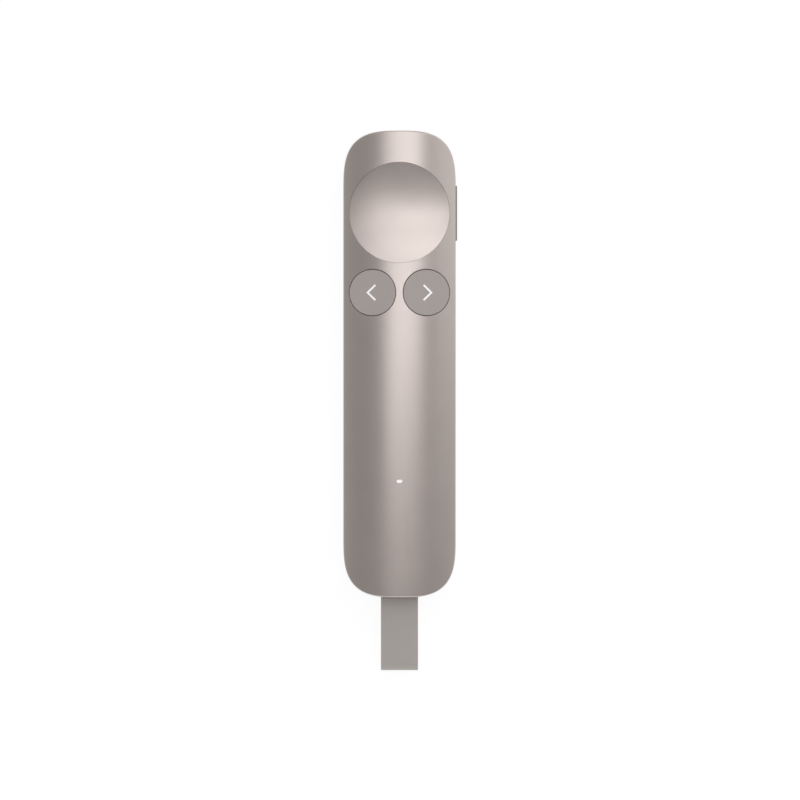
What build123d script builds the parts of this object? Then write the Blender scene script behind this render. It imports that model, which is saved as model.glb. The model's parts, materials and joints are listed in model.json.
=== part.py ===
from build123d import *

import os
from math import asin, cos, degrees, pi, sin, sqrt

# Wireless presentation clicker: a crowned, slim hand-held pod with a dished pointer key, two round
# keys, one side key, a status light and a radio receiver that docks in the tail on a pull strap.
# Frame: origin at the centre of the flat underside, +Z up through the keys, +Y to the nose,
# +X to the side with the side key.  All sizes are in millimetres.

# ---------------------------------------------------------------- driving dimensions
BODY_WIDTH = 28.1
BODY_LENGTH = 116.2
BODY_HEIGHT = 12.1
END_DEPTH = 14.7  # length over which each end rounds off, seen from above
END_POWER = 3.2  # exponent of the superellipse that rounds each end
END_SPANS = 14  # spans of the spline along one end
CROWN_RADIUS = 32.0  # the top is a cylinder of this radius along Y
TOP_EDGE_RADIUS = 0.4
BOTTOM_EDGE_RADIUS = 3.2
WALL = 1.5
INNER_BOTTOM_CHAMFER = 1.2

SEAM_Z = 4.2  # height of the parting line between the two shells
SEAM_GAP = 0.1
SEAM_GROOVE = 0.15
LIP_INSET = 0.8  # outer face of the lower shell's lip, measured in from the outline
LIP_HEIGHT = 1.0
LIP_CLEARANCE = 0.05
SNAP_Y = (-34.0, -8.0, 18.0)
SNAP_LENGTH = 6.0
SNAP_DEPTH = 0.25
SNAP_HEIGHT = 0.4
SNAP_CLEARANCE = 0.1

POINTER_Y = 37.7
POINTER_RADIUS = 12.55
POINTER_GAP = 0.1
POINTER_STEP = 0.08  # the dish's rim sits this much under the crown
POINTER_DEPTH = 1.5  # depth of the dish on the centre line
POINTER_BASE_Z = 8.1
POINTER_SKIN = 1.2
POINTER_SKIRT = 1.35
POINTER_BOSS_RADIUS = 2.0
POINTER_TAB = (6.0, 1.25, 10.4)  # width, reach past the disc, top height
POINTER_RIM_CHAMFER = 0.1

KEY_X = 6.73
KEY_Y = 17.8
KEY_RADIUS = 5.75
KEY_GAP = 0.2
KEY_DROP = 0.22  # the flat face is lowered this much under the crown at its centre
KEY_BASE_Z = 8.6
KEY_SKIN = 1.2
KEY_SKIRT = 1.1
KEY_STEM_RADIUS = 1.3
KEY_TAB = (3.0, 1.15, 9.4)
KEY_EDGE = 0.2
RIM_CHAMFER = 0.15
WELL_ROOM = 0.5  # the wells in the crown start this much under the keys' lower edges

SIDE_KEY_Y = 37.9
SIDE_KEY_Z = 6.1
SIDE_KEY_SIZE = (13.95, 2.1)  # along the body, and high
SIDE_KEY_PROUD = 0.4
SIDE_KEY_GAP = 0.1
SIDE_KEY_FLANGE = (15.8, 3.0, 0.75)  # along the body, high and thick
SIDE_KEY_EDGE = 0.25

LIGHT_Y = -29.2
LIGHT_SIZE = (1.35, 0.85)
LIGHT_GAP = 0.05
LIGHT_GUIDE_RADIUS = 1.3

BOARD_Z = 5.65  # underside of the main board
BOARD_THICKNESS = 0.8
BOARD_INSET = 2.0
BOARD_TAIL_Y = -47.9
SIDE_NOTCH = (10.9, 28.4, 47.4)  # x beyond which, and the two y between which, the board is cut

CHIPS = {  # x, y, width, length and height of each package
    "radio_shield": (0, -6.0, 11.0, 13.0, 1.5),
    "charging_chip": (4.0, -34.0, 4.0, 4.0, 0.8),
    "motion_sensor": (-4.5, -20.0, 3.0, 2.5, 0.9),
    "chip_antenna": (0, 54.6, 7.0, 2.0, 0.9),
    "status_led": (0, LIGHT_Y, 1.6, 0.8, 0.6),
}
SHIELD_CORNER = 0.8
SHIELD_EDGE = 0.2

SWITCH_BASE = 5.2
SWITCH_HEIGHT = 1.1
SWITCH_CORNER = 0.5
PLUNGER_RADIUS = 0.9
PLUNGER_TOP_Z = 7.95
PLUNGER_LENGTH = 0.9
PLUNGER_CLEARANCE = 0.1
PLUNGER_ROOM = 0.3
SIDE_SWITCH_SIZE = (2.5, 4.7, 1.15)
SIDE_PLUNGER_SIZE = (1.6, 0.6)  # along the body, and high
SIDE_PLUNGER_BITE = 0.5  # how far the side plunger reaches into its switch

SCREW_PLACES = [(x, y) for y in (-38.6, 5.2, 53.2) for x in ((-6.5, 6.5) if y > 50 else (-9.3, 9.3))]
SCREW_RADIUS = 0.8
SCREW_LENGTH = 3.4
SCREW_HEAD = (1.45, 0.85)
BOSS_RADIUS = 1.8
SCREW_CLEARANCE = 0.02  # in the top shell's bosses
SCREW_PLAY = 0.1  # in the board and the chassis
SCREW_TIP_ROOM = 0.2

POST_PLACES = [(x, y) for y in (-43.5, 33.0) for x in (-10.0, 10.0)]
POST_RADIUS = 1.2

CHASSIS_INSET = 1.65
CHASSIS_PLATE = 0.9
CHASSIS_TAIL_Y = -48.1
CHASSIS_CLEARANCE = 0.3
CHASSIS_RIBS = ((30.0, 38.0, 46.0), 16.0, 1.0)  # their places along the body, length and thickness
CELL_SIZE = (19.0, 35.0, 3.5)
CELL_Y = -16.5
CELL_CLEARANCE = 0.3
CELL_EDGE_RADIUS = 1.2
CELL_TABS = (4.0, 3.0, 0.2, 4.0)  # distance from the centre line, width, thickness, lower end
BAY_WALL = 0.8
FOAM_THICKNESS = 0.3
FOAM_MARGIN = 1.5

TAIL_AXIS_Z = 6.05  # height of the receiver, its plug, the socket and the strap
DOCK_MOUTH = (12.9, 6.9)
DOCK_WALL = 0.7
DOCK_CORNER = 2.0
DOCK_INNER_Y = -48.8
DOCK_EARS = (18.0, 3.8, 0.8)  # width over both ears, height and thickness
DOCK_PROUD = 0.15
DOCK_FLOOR = 0.6  # thickness of the dock's floor
DOCK_SLOT_GAP = 0.05  # round the charging socket in that floor

SOCKET_OUTER = (8.94, 3.16)
SOCKET_INNER = (8.34, 2.56)
SOCKET_MOUTH_Y = -48.6
SOCKET_LENGTH = 7.35
SOCKET_DEPTH = 6.5
SOCKET_WINGS = (5.9, 1.2, 0.25)  # reach from the centre line, length and thickness
TONGUE_SIZE = (6.69, 0.7, 4.45)

RECEIVER_SIZE = (12.5, 6.5)
RECEIVER_CORNER = 1.7
RECEIVER_WALL = 0.75
RECEIVER_FRONT_Y = -48.95
RECEIVER_FRONT_PLATE = 0.8
RECEIVER_RECESS = 0.1
PLUG_OUTER = (8.25, 2.40)
PLUG_WALL = 0.2
PLUG_TIP_Y = -42.3
PLUG_SLOT = (6.95, 0.95, 4.9)
RECEIVER_BOARD = (10.4, 0.8, 3.0)  # width, thickness and length
PIN_Y = -55.4
PIN_RADIUS = 0.6
PIN_LENGTH = 11.0

STRAP_WIDTH = 9.3
STRAP_THICKNESS = 0.9
STRAP_REACH = 18.7  # how far the strap stands out of the tail
STRAP_FOLD_RADIUS = 1.65  # outside of the free fold
STRAP_PLAY = 0.15  # round the strap in the receiver's slot
STRAP_SLOT_CORNER = 0.3

# ---------------------------------------------------------------- derived heights
BOARD_TOP_Z = BOARD_Z + BOARD_THICKNESS
CHASSIS_Z = BOARD_Z - CHASSIS_PLATE
SIDE_X = BODY_WIDTH / 2
TAIL_Y = -BODY_LENGTH / 2
SOCKET_BACK_Y = SOCKET_MOUTH_Y + SOCKET_LENGTH
RECEIVER_PLATE_Y = RECEIVER_FRONT_Y - RECEIVER_FRONT_PLATE
STRAP_ROOT_RADIUS = PIN_RADIUS + STRAP_THICKNESS
SIDE_KEY_BACK_X = SIDE_X - WALL - SIDE_KEY_GAP - SIDE_KEY_FLANGE[2]
SIDE_PLUNGER_Z = BOARD_TOP_Z + SIDE_SWITCH_SIZE[2] / 2
KEY_WELLS = [(0, POINTER_Y, POINTER_RADIUS + POINTER_GAP, POINTER_BASE_Z)]
KEY_WELLS += [(side * KEY_X, KEY_Y, KEY_RADIUS + KEY_GAP, KEY_BASE_Z) for side in (-1, 1)]
SWITCH_SPOTS = {"pointer": (0, POINTER_Y), "back": (-KEY_X, KEY_Y), "next": (KEY_X, KEY_Y)}


def crown_z(x, inset=0.0):
    """Height of the crowned top at x, for the outside or for a skin inset from it."""
    return BODY_HEIGHT - CROWN_RADIUS + sqrt((CROWN_RADIUS - inset) ** 2 - x * x)


# ---------------------------------------------------------------- small helpers
def upright(face, z_low, z_high):
    """Extrudes a face drawn in plan between two heights."""
    return extrude(Pos(0, 0, z_low) * face, amount=z_high - z_low)


def along_x(face, x_low, x_high, y, z):
    """Extrudes a face drawn in Y and Z, centred on y and z, between two x."""
    return extrude(Plane.YZ.offset(x_low) * Pos(y, z) * face, amount=x_high - x_low)


def along_y(face, y_low, y_high, z):
    """Extrudes a face drawn in X and Z, centred on height z, between two y."""
    return extrude(Plane.XZ.offset(-y_high) * Pos(0, z) * face, amount=y_high - y_low)


def block(x_low, x_high, y_low, y_high, z_low, z_high):
    """A box given by its six sides."""
    size = (x_high - x_low, y_high - y_low, z_high - z_low)
    centre = ((x_low + x_high) / 2, (y_low + y_high) / 2, (z_low + z_high) / 2)
    return Pos(*centre) * Box(*size)


def post(x, y, radius, z_low, z_high):
    """An upright cylinder."""
    return Pos(x, y, (z_low + z_high) / 2) * Cylinder(radius, z_high - z_low)


# ---------------------------------------------------------------- the pod's outer form
def superellipse_end(half_width, depth, start_y):
    """Points of one rounded end, from the right flank over the nose to the left flank."""
    points = []
    for step in range(END_SPANS + 1):
        angle = pi * step / END_SPANS
        across = abs(cos(angle)) ** (2 / END_POWER) * (1 if angle <= pi / 2 else -1)
        along = max(sin(angle), 0.0) ** (2 / END_POWER)
        points.append((half_width * across, start_y + depth * along))
    return points


def outline(inset):
    """The pod seen from above, drawn in by inset: straight flanks and two superellipse ends."""
    start_y = BODY_LENGTH / 2 - END_DEPTH
    points = superellipse_end(SIDE_X - inset, END_DEPTH - inset, start_y)
    nose = Spline(*points, tangents=[(0, 1), (0, -1)])
    tail = Spline(*[(-x, -y) for x, y in points], tangents=[(0, -1), (0, 1)])
    return make_face(Wire([nose, Line(nose @ 1, tail @ 0), tail, Line(tail @ 1, nose @ 0)]))


def blank(inset):
    """The pod form with sharp edges, inset from the outside: plan outline under a crowned top."""
    crown = Cylinder(CROWN_RADIUS - inset, 2 * BODY_LENGTH)
    barrel = Pos(0, 0, BODY_HEIGHT - CROWN_RADIUS) * Rot(90, 0, 0) * crown
    return upright(outline(inset), inset, BODY_HEIGHT + 1) & barrel


def outside():
    """The pod's outer form, its top and bottom edges rounded all the way round."""
    form = blank(0)
    rim = [e for e in form.edges() if e.center().Z > BODY_HEIGHT / 2 and e.length > END_DEPTH / 2]
    form = fillet(rim, TOP_EDGE_RADIUS)
    return fillet(form.faces().sort_by(Axis.Z)[0].edges(), BOTTOM_EDGE_RADIUS)


def inside():
    """The space within the casing, chamfered below to follow the rounded bottom edge."""
    form = blank(WALL)
    return chamfer(form.faces().sort_by(Axis.Z)[0].edges(), INNER_BOTTOM_CHAMFER)


OUTSIDE = outside()
INSIDE = inside()
HOLLOW = OUTSIDE - INSIDE


# ---------------------------------------------------------------- shells
def dock_hole():
    """The opening that the dock sleeve fills, from the tail wall to the sleeve's inner end."""
    width, height = (size + 2 * DOCK_WALL for size in DOCK_MOUTH)
    return along_y(RectangleRounded(width, height, DOCK_CORNER), TAIL_Y - 1, DOCK_INNER_Y, TAIL_AXIS_Z)


def side_key_slot():
    """The round-ended slot in the right flank that the side key moves in."""
    slot = SlotOverall(*(size + 2 * SIDE_KEY_GAP for size in SIDE_KEY_SIZE))
    return along_x(slot, SIDE_X - 2 * WALL, SIDE_X + 1, SIDE_KEY_Y, SIDE_KEY_Z)


def snaps(grow):
    """The snap ridges on the lower shell's lip, or, grown, the pockets that they click into."""
    half = SNAP_LENGTH / 2 + grow
    middle_z = SEAM_Z + LIP_HEIGHT / 2
    tall = SNAP_HEIGHT / 2 + grow
    outer = SIDE_X - LIP_INSET + SNAP_DEPTH + grow
    inner = SIDE_X - LIP_INSET - SNAP_DEPTH
    ridges = []
    for y in SNAP_Y:
        for x_low, x_high in ((inner, outer), (-outer, -inner)):
            ridges.append(block(x_low, x_high, y - half, y + half, middle_z - tall, middle_z + tall))
    return ridges


def seam_groove():
    """The fine square groove round the flank, where the two shells meet."""
    ring = outline(-1) - outline(SEAM_GROOVE)
    return upright(ring, SEAM_Z - SEAM_GROOVE, SEAM_Z + SEAM_GROOVE)


def top_shell():
    """The crowned upper casing, with every opening, its screw bosses and the seam rebate."""
    low = SEAM_Z + SEAM_GAP / 2
    shell = HOLLOW & block(-BODY_WIDTH, BODY_WIDTH, -BODY_LENGTH, BODY_LENGTH, low, 2 * BODY_HEIGHT)
    shell -= seam_groove()
    rebate = upright(outline(LIP_INSET - LIP_CLEARANCE), SEAM_Z - 1, SEAM_Z + LIP_HEIGHT + LIP_CLEARANCE)
    shell -= rebate
    shell -= snaps(SNAP_CLEARANCE)
    for x, y, radius, base_z in KEY_WELLS:
        shell -= post(x, y, radius, base_z - WELL_ROOM, 2 * BODY_HEIGHT)
    shell = break_key_rims(shell)
    shell -= Pos(0, LIGHT_Y) * upright(SlotOverall(*LIGHT_SIZE), BODY_HEIGHT / 2, 2 * BODY_HEIGHT)
    shell -= side_key_slot()
    shell -= dock_hole()
    for x, y in SCREW_PLACES:
        boss = post(x, y, BOSS_RADIUS, BOARD_TOP_Z, BODY_HEIGHT) & INSIDE
        hole_top_z = CHASSIS_Z + SCREW_LENGTH + SCREW_TIP_ROOM
        shell += boss - post(x, y, SCREW_RADIUS + SCREW_CLEARANCE, BOARD_TOP_Z, hole_top_z)
    return shell


def break_key_rims(shell):
    """A small chamfer round the pointer key's and the round keys' openings in the crown."""
    rims = []
    for edge in shell.edges():
        for x, y, radius, _ in KEY_WELLS:
            spots = [edge.position_at(t) for t in (0.0, 0.3, 0.7)]
            on_circle = all(abs(sqrt((p.X - x) ** 2 + (p.Y - y) ** 2) - radius) < 0.01 for p in spots)
            on_crown = all(abs(p.Z - crown_z(p.X)) < 0.02 for p in spots)
            if on_circle and on_crown:
                rims.append(edge)
    return chamfer(rims, RIM_CHAMFER)


def bottom_shell():
    """The tray-shaped lower casing, with its lip, snap ridges and chassis posts."""
    high = SEAM_Z - SEAM_GAP / 2
    shell = HOLLOW & block(-BODY_WIDTH, BODY_WIDTH, -BODY_LENGTH, BODY_LENGTH, -1, high)
    shell -= seam_groove()
    lip = outline(LIP_INSET) - outline(WALL)
    shell += upright(lip, high - LIP_HEIGHT / 2, SEAM_Z + LIP_HEIGHT)
    for ridge in snaps(0):
        shell += ridge
    for x, y in POST_PLACES:
        shell += post(x, y, POST_RADIUS, WALL, CHASSIS_Z)
    shell += dock_ribs()
    return shell - side_key_slot() - dock_hole()


def dock_ribs():
    """Two pairs of ribs on the floor, each pair holding one ear of the dock sleeve."""
    inner_x = DOCK_MOUTH[0] / 2 + DOCK_WALL
    outer_x, thickness = DOCK_EARS[0] / 2, DOCK_EARS[2]
    ribs = []
    for y_low in (DOCK_INNER_Y - 2 * thickness, DOCK_INNER_Y):
        for x_low, x_high in ((inner_x, outer_x), (-outer_x, -inner_x)):
            ribs.append(block(x_low, x_high, y_low, y_low + thickness, WALL, CHASSIS_Z))
    return ribs


# ---------------------------------------------------------------- pointer key
def dish_cutter(drop):
    """The space above the dish: an arc along Y, swept along a gentler arc across the body.

    Both arcs meet the crown at the rim, so that the rim follows the crown all the way round.
    """
    rim_z = BODY_HEIGHT - POINTER_STEP
    centre_z = rim_z - POINTER_DEPTH
    side_z = crown_z(POINTER_RADIUS) - POINTER_STEP
    along_radius = (POINTER_RADIUS**2 + POINTER_DEPTH**2) / (2 * POINTER_DEPTH)
    fall = centre_z - side_z
    across_radius = (POINTER_RADIUS**2 + fall**2) / (2 * fall)
    half = POINTER_RADIUS + 1.5
    rise = along_radius - sqrt(along_radius**2 - half**2)
    arc = ThreePointArc((-half, centre_z + rise), (0, centre_z), (half, centre_z + rise))
    lid = Polyline(arc @ 1, (half, centre_z + 2 * rise), (-half, centre_z + 2 * rise), arc @ 0)
    axis = Axis((0, 0, centre_z - across_radius), (0, 1, 0))
    sweep = 2 * degrees(asin(half / across_radius)) + 2
    cutter = revolve(Plane.YZ * make_face([arc, lid]), axis, sweep).rotate(axis, -sweep / 2)
    return Pos(0, 0, -drop) * cutter


def retaining_tabs(x, tab, radius, skirt, base_z):
    """Two tabs, on the nose side and the tail side, that catch a key under the crown."""
    width, reach, top_z = tab
    inner, outer = radius - skirt / 2, radius + reach
    left, right = x - width / 2, x + width / 2
    return [block(left, right, y, y + outer - inner, base_z, top_z) for y in (-outer, inner)]


def pointer_button():
    """The large dished key: a skinned dish on a skirt, two retaining tabs and a centre boss."""
    disc = post(0, 0, POINTER_RADIUS, POINTER_BASE_Z, BODY_HEIGHT) - dish_cutter(0)
    rim_z = crown_z(POINTER_RADIUS) - 1
    rim = [edge for edge in disc.edges() if edge.center().Z > rim_z and edge.length > POINTER_RADIUS]
    disc = chamfer(rim, POINTER_RIM_CHAMFER)
    core = post(0, 0, POINTER_RADIUS - POINTER_SKIRT, POINTER_BASE_Z - 1, BODY_HEIGHT)
    disc -= core - dish_cutter(POINTER_SKIN)
    boss = post(0, 0, POINTER_BOSS_RADIUS, PLUNGER_TOP_Z, BODY_HEIGHT) - dish_cutter(POINTER_SKIN / 2)
    disc += boss
    disc += retaining_tabs(0, POINTER_TAB, POINTER_RADIUS, POINTER_SKIRT, POINTER_BASE_Z)
    return Pos(0, POINTER_Y) * disc


# ---------------------------------------------------------------- round keys
def round_button(side):
    """A flat-faced round key, tilted to lie on the crown, with a stem and two retaining tabs."""
    centre_x = side * KEY_X
    tilt = degrees(asin(KEY_X / CROWN_RADIUS)) * side
    face_z = crown_z(KEY_X) - KEY_DROP
    above = Pos(centre_x, 0, face_z) * Rot(0, tilt, 0) * Pos(0, 0, 5) * Box(40, 40, 10)
    cap = post(centre_x, 0, KEY_RADIUS, KEY_BASE_Z, BODY_HEIGHT + 2) - above
    top = cap.faces().sort_by(Axis.Z)[-1]
    cap = chamfer(top.edges(), KEY_EDGE)
    core = post(centre_x, 0, KEY_RADIUS - KEY_SKIRT, KEY_BASE_Z - 1, BODY_HEIGHT + 2)
    cap -= core - Pos(0, 0, -KEY_SKIN) * above
    stem = post(centre_x, 0, KEY_STEM_RADIUS, PLUNGER_TOP_Z, BODY_HEIGHT) - Pos(0, 0, -KEY_SKIN / 2) * above
    cap += stem
    cap += retaining_tabs(centre_x, KEY_TAB, KEY_RADIUS, KEY_SKIRT, KEY_BASE_Z)
    return Pos(0, KEY_Y) * cap


# ---------------------------------------------------------------- side key
def side_key():
    """The slim key in the right flank: a round-ended bar on a wider flange behind the wall."""
    length, height, thickness = SIDE_KEY_FLANGE
    face_x = SIDE_X + SIDE_KEY_PROUD
    bar = along_x(SlotOverall(*SIDE_KEY_SIZE), SIDE_KEY_BACK_X, face_x, SIDE_KEY_Y, SIDE_KEY_Z)
    bar = chamfer(bar.faces().sort_by(Axis.X)[-1].edges(), SIDE_KEY_EDGE)
    flange = SlotOverall(length, height)
    return bar + along_x(flange, SIDE_KEY_BACK_X, SIDE_KEY_BACK_X + thickness, SIDE_KEY_Y, SIDE_KEY_Z)


# ---------------------------------------------------------------- switches
def switch_housing(name):
    """A low push switch on the board, with the bore that its plunger slides in."""
    x, y = SWITCH_SPOTS[name]
    half = SWITCH_BASE / 2
    case = block(x - half, x + half, y - half, y + half, BOARD_TOP_Z, BOARD_TOP_Z + SWITCH_HEIGHT)
    case = chamfer(case.edges().filter_by(Axis.Z), SWITCH_CORNER)
    floor_z = PLUNGER_TOP_Z - PLUNGER_LENGTH - PLUNGER_ROOM
    return case - post(x, y, PLUNGER_RADIUS + PLUNGER_CLEARANCE, floor_z, BODY_HEIGHT)


def switch_plunger(name):
    """The switch's plunger, which its key pushes down."""
    x, y = SWITCH_SPOTS[name]
    return post(x, y, PLUNGER_RADIUS, PLUNGER_TOP_Z - PLUNGER_LENGTH, PLUNGER_TOP_Z)


def side_switch():
    """The right-angle switch at the board's edge behind the side key."""
    width, length, height = SIDE_SWITCH_SIZE
    edge_x = SIDE_NOTCH[0]
    y_low, y_high = SIDE_KEY_Y - length / 2, SIDE_KEY_Y + length / 2
    case = block(edge_x - width, edge_x, y_low, y_high, BOARD_TOP_Z, BOARD_TOP_Z + height)
    bore = Rectangle(*(size + 2 * PLUNGER_CLEARANCE for size in SIDE_PLUNGER_SIZE))
    bore_depth = SIDE_PLUNGER_BITE + PLUNGER_ROOM + SIDE_KEY_GAP / 2
    return case - along_x(bore, edge_x - bore_depth, edge_x + 1, SIDE_KEY_Y, SIDE_PLUNGER_Z)


def side_plunger():
    """The side switch's plunger, from inside its case to the back of the side key."""
    start_x = SIDE_NOTCH[0] - SIDE_PLUNGER_BITE
    return along_x(Rectangle(*SIDE_PLUNGER_SIZE), start_x, SIDE_KEY_BACK_X, SIDE_KEY_Y, SIDE_PLUNGER_Z)


# ---------------------------------------------------------------- board and what is on it
def side_notch(z_low, z_high):
    """The space that the side key's flange moves in."""
    x_low, y_low, y_high = SIDE_NOTCH
    return block(x_low, BODY_WIDTH, y_low, y_high, z_low, z_high)


def socket_notch(grow):
    """The space that the charging socket takes at the tail end of the board, grown all round."""
    half = SOCKET_OUTER[0] / 2 + grow
    return block(-half, half, -BODY_LENGTH, SOCKET_BACK_Y + grow, 0, BODY_HEIGHT)


def main_board():
    """The long circuit board, notched for the socket and the side key and drilled for screws."""
    board = upright(outline(BOARD_INSET), BOARD_Z, BOARD_TOP_Z)
    board &= block(-BODY_WIDTH, BODY_WIDTH, BOARD_TAIL_Y, BODY_LENGTH, 0, BODY_HEIGHT)
    board -= side_notch(0, BODY_HEIGHT)
    board -= socket_notch(0)
    for x, y in SCREW_PLACES:
        board -= post(x, y, SCREW_RADIUS + SCREW_PLAY, 0, BODY_HEIGHT)
    return board


def chip(name):
    """A square-cornered package on top of the board, from its entry in CHIPS."""
    x, y, width, length, height = CHIPS[name]
    package = Pos(x, y) * Rectangle(width, length)
    return upright(package, BOARD_TOP_Z, BOARD_TOP_Z + height)


def radio_shield():
    """The pressed lid over the radio, with rounded upright edges and a broken top edge."""
    can = chip("radio_shield")
    can = fillet(can.edges().filter_by(Axis.Z), SHIELD_CORNER)
    return chamfer(can.faces().sort_by(Axis.Z)[-1].edges(), SHIELD_EDGE)


def light_guide():
    """The clear guide from the status light up to its oval window in the crown."""
    window = SlotOverall(*(size - 2 * LIGHT_GAP for size in LIGHT_SIZE))
    tip = Pos(0, LIGHT_Y) * upright(window, BODY_HEIGHT - 2 * WALL, 2 * BODY_HEIGHT) & OUTSIDE
    led_top_z = BOARD_TOP_Z + CHIPS["status_led"][4]
    return tip + (post(0, LIGHT_Y, LIGHT_GUIDE_RADIUS, led_top_z, BODY_HEIGHT) & INSIDE)


# ---------------------------------------------------------------- chassis, cell and screws
def bay(grow, z_low, z_high):
    """The cell's space, grown on all four sides."""
    width, length, _ = CELL_SIZE
    half_x, half_y = width / 2 + CELL_CLEARANCE + grow, length / 2 + CELL_CLEARANCE + grow
    return block(-half_x, half_x, CELL_Y - half_y, CELL_Y + half_y, z_low, z_high)


def chassis():
    """The inner frame: a plate under the board, a walled bay round the cell, ribs at the nose."""
    frame = upright(outline(CHASSIS_INSET), CHASSIS_Z, BOARD_Z)
    frame &= block(-BODY_WIDTH, BODY_WIDTH, CHASSIS_TAIL_Y, BODY_LENGTH, 0, BODY_HEIGHT)
    frame += bay(BAY_WALL, WALL, CHASSIS_Z)
    rib_places, rib_length, rib_thickness = CHASSIS_RIBS
    for y in rib_places:
        y_low = y - rib_thickness / 2
        frame += block(-rib_length / 2, rib_length / 2, y_low, y_low + rib_thickness, WALL, CHASSIS_Z)
    frame -= bay(0, 0, BODY_HEIGHT)
    frame -= side_notch(0, BODY_HEIGHT)
    frame -= socket_notch(CHASSIS_CLEARANCE)
    for x, y in SCREW_PLACES:
        frame -= post(x, y, SCREW_RADIUS + SCREW_PLAY, 0, BODY_HEIGHT)
    return frame


def battery_cell():
    """The flat pouch cell, with rounded edges."""
    width, length, height = CELL_SIZE
    z_low = WALL + FOAM_THICKNESS
    cell = block(-width / 2, width / 2, CELL_Y - length / 2, CELL_Y + length / 2, z_low, z_low + height)
    return fillet(cell.edges().filter_by(Axis.Y), CELL_EDGE_RADIUS)


def battery_foam():
    """The adhesive foam under the cell."""
    half_x, half_y = (size / 2 - FOAM_MARGIN for size in CELL_SIZE[:2])
    return block(-half_x, half_x, CELL_Y - half_y, CELL_Y + half_y, WALL, WALL + FOAM_THICKNESS)


def battery_tabs():
    """Two nickel strips that rise from the cell's end to the underside of the board."""
    cell_end = CELL_Y + CELL_SIZE[1] / 2
    offset, width, thickness, low_z = CELL_TABS
    places = (-offset - width / 2, offset - width / 2)
    strips = [block(x, x + width, cell_end, cell_end + thickness, low_z, BOARD_Z) for x in places]
    return Compound(children=strips)


def chassis_screws():
    """Six screws, driven from below through chassis and board into the top shell."""
    head_radius, head_height = SCREW_HEAD
    screws = []
    for x, y in SCREW_PLACES:
        head = post(x, y, head_radius, CHASSIS_Z - head_height, CHASSIS_Z)
        screws.append(head + post(x, y, SCREW_RADIUS, CHASSIS_Z, CHASSIS_Z + SCREW_LENGTH))
    return Compound(children=screws)


# ---------------------------------------------------------------- tail dock and socket
def dock_sleeve():
    """The cup that lines the tail opening: two ears lock it in the shells, the socket sits in its floor."""
    width, height = DOCK_MOUTH
    cup = dock_hole() & Pos(0, -DOCK_PROUD, 0) * OUTSIDE
    ear_width, ear_height, ear_thickness = DOCK_EARS
    ears = Rectangle(ear_width, ear_height)
    cup += along_y(ears, DOCK_INNER_Y - ear_thickness, DOCK_INNER_Y, TAIL_AXIS_Z)
    floor = RectangleRounded(width + DOCK_WALL, height + DOCK_WALL, DOCK_CORNER)
    cup += along_y(floor, DOCK_INNER_Y, DOCK_INNER_Y + DOCK_FLOOR, TAIL_AXIS_Z)
    mouth = RectangleRounded(width, height, DOCK_CORNER - DOCK_WALL / 2)
    cup -= along_y(mouth, TAIL_Y - 1, DOCK_INNER_Y, TAIL_AXIS_Z)
    slot = SlotOverall(*(size + 2 * DOCK_SLOT_GAP for size in SOCKET_OUTER))
    return cup - along_y(slot, DOCK_INNER_Y - 1, 0, TAIL_AXIS_Z)


def charge_socket():
    """The charging socket's drawn steel shell, with four soldered wings on the board."""
    shell = along_y(SlotOverall(*SOCKET_OUTER), SOCKET_MOUTH_Y, SOCKET_BACK_Y, TAIL_AXIS_Z)
    reach, length, thickness = SOCKET_WINGS
    for y_low in (SOCKET_MOUTH_Y + length, SOCKET_BACK_Y - length):
        y_high = y_low + length
        shell += block(-reach, reach, y_low, y_high, BOARD_TOP_Z, BOARD_TOP_Z + thickness)
    return shell - along_y(SlotOverall(*SOCKET_INNER), SOCKET_MOUTH_Y - 1, SOCKET_BACK_Y + 1, TAIL_AXIS_Z)


def socket_tongue():
    """The contact tongue inside the socket, on the block that closes its back."""
    floor_y = SOCKET_MOUTH_Y + SOCKET_DEPTH
    plug = along_y(SlotOverall(*SOCKET_INNER), floor_y, SOCKET_BACK_Y, TAIL_AXIS_Z)
    tongue_width, tongue_height, tongue_length = TONGUE_SIZE
    tongue = Rectangle(tongue_width, tongue_height)
    return plug + along_y(tongue, floor_y - tongue_length, floor_y, TAIL_AXIS_Z)


# ---------------------------------------------------------------- receiver
def receiver_room():
    """Section of the space inside the receiver's body, which its front plate also fills."""
    width, height = (size - 2 * RECEIVER_WALL for size in RECEIVER_SIZE)
    return RectangleRounded(width, height, RECEIVER_CORNER - RECEIVER_WALL)


def receiver_cap():
    """The receiver's moulded body: strap slot and pin bore at the rear, board space at the front."""
    section = RectangleRounded(*RECEIVER_SIZE, RECEIVER_CORNER)
    cap = along_y(section, TAIL_Y - 1, RECEIVER_FRONT_Y, TAIL_AXIS_Z)
    cap &= Pos(0, RECEIVER_RECESS, 0) * OUTSIDE
    slot_end_y = PIN_Y + STRAP_ROOT_RADIUS + STRAP_PLAY
    slot_height = 2 * (STRAP_ROOT_RADIUS + STRAP_PLAY)
    slot = RectangleRounded(STRAP_WIDTH + 2 * STRAP_PLAY, slot_height, STRAP_SLOT_CORNER)
    cap -= along_y(slot, TAIL_Y - 1, slot_end_y, TAIL_AXIS_Z)
    cap -= strap_pin()
    return cap - along_y(receiver_room(), slot_end_y + RECEIVER_WALL, 0, TAIL_AXIS_Z)


def receiver_front():
    """The plate that closes the receiver's body round the plug."""
    plate = receiver_room() - SlotOverall(*PLUG_OUTER)
    return along_y(plate, RECEIVER_PLATE_Y, RECEIVER_FRONT_Y, TAIL_AXIS_Z)


def receiver_plug():
    """The plug's drawn steel shell."""
    inner = SlotOverall(*(size - 2 * PLUG_WALL for size in PLUG_OUTER))
    return along_y(SlotOverall(*PLUG_OUTER) - inner, RECEIVER_PLATE_Y, PLUG_TIP_Y, TAIL_AXIS_Z)


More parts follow.
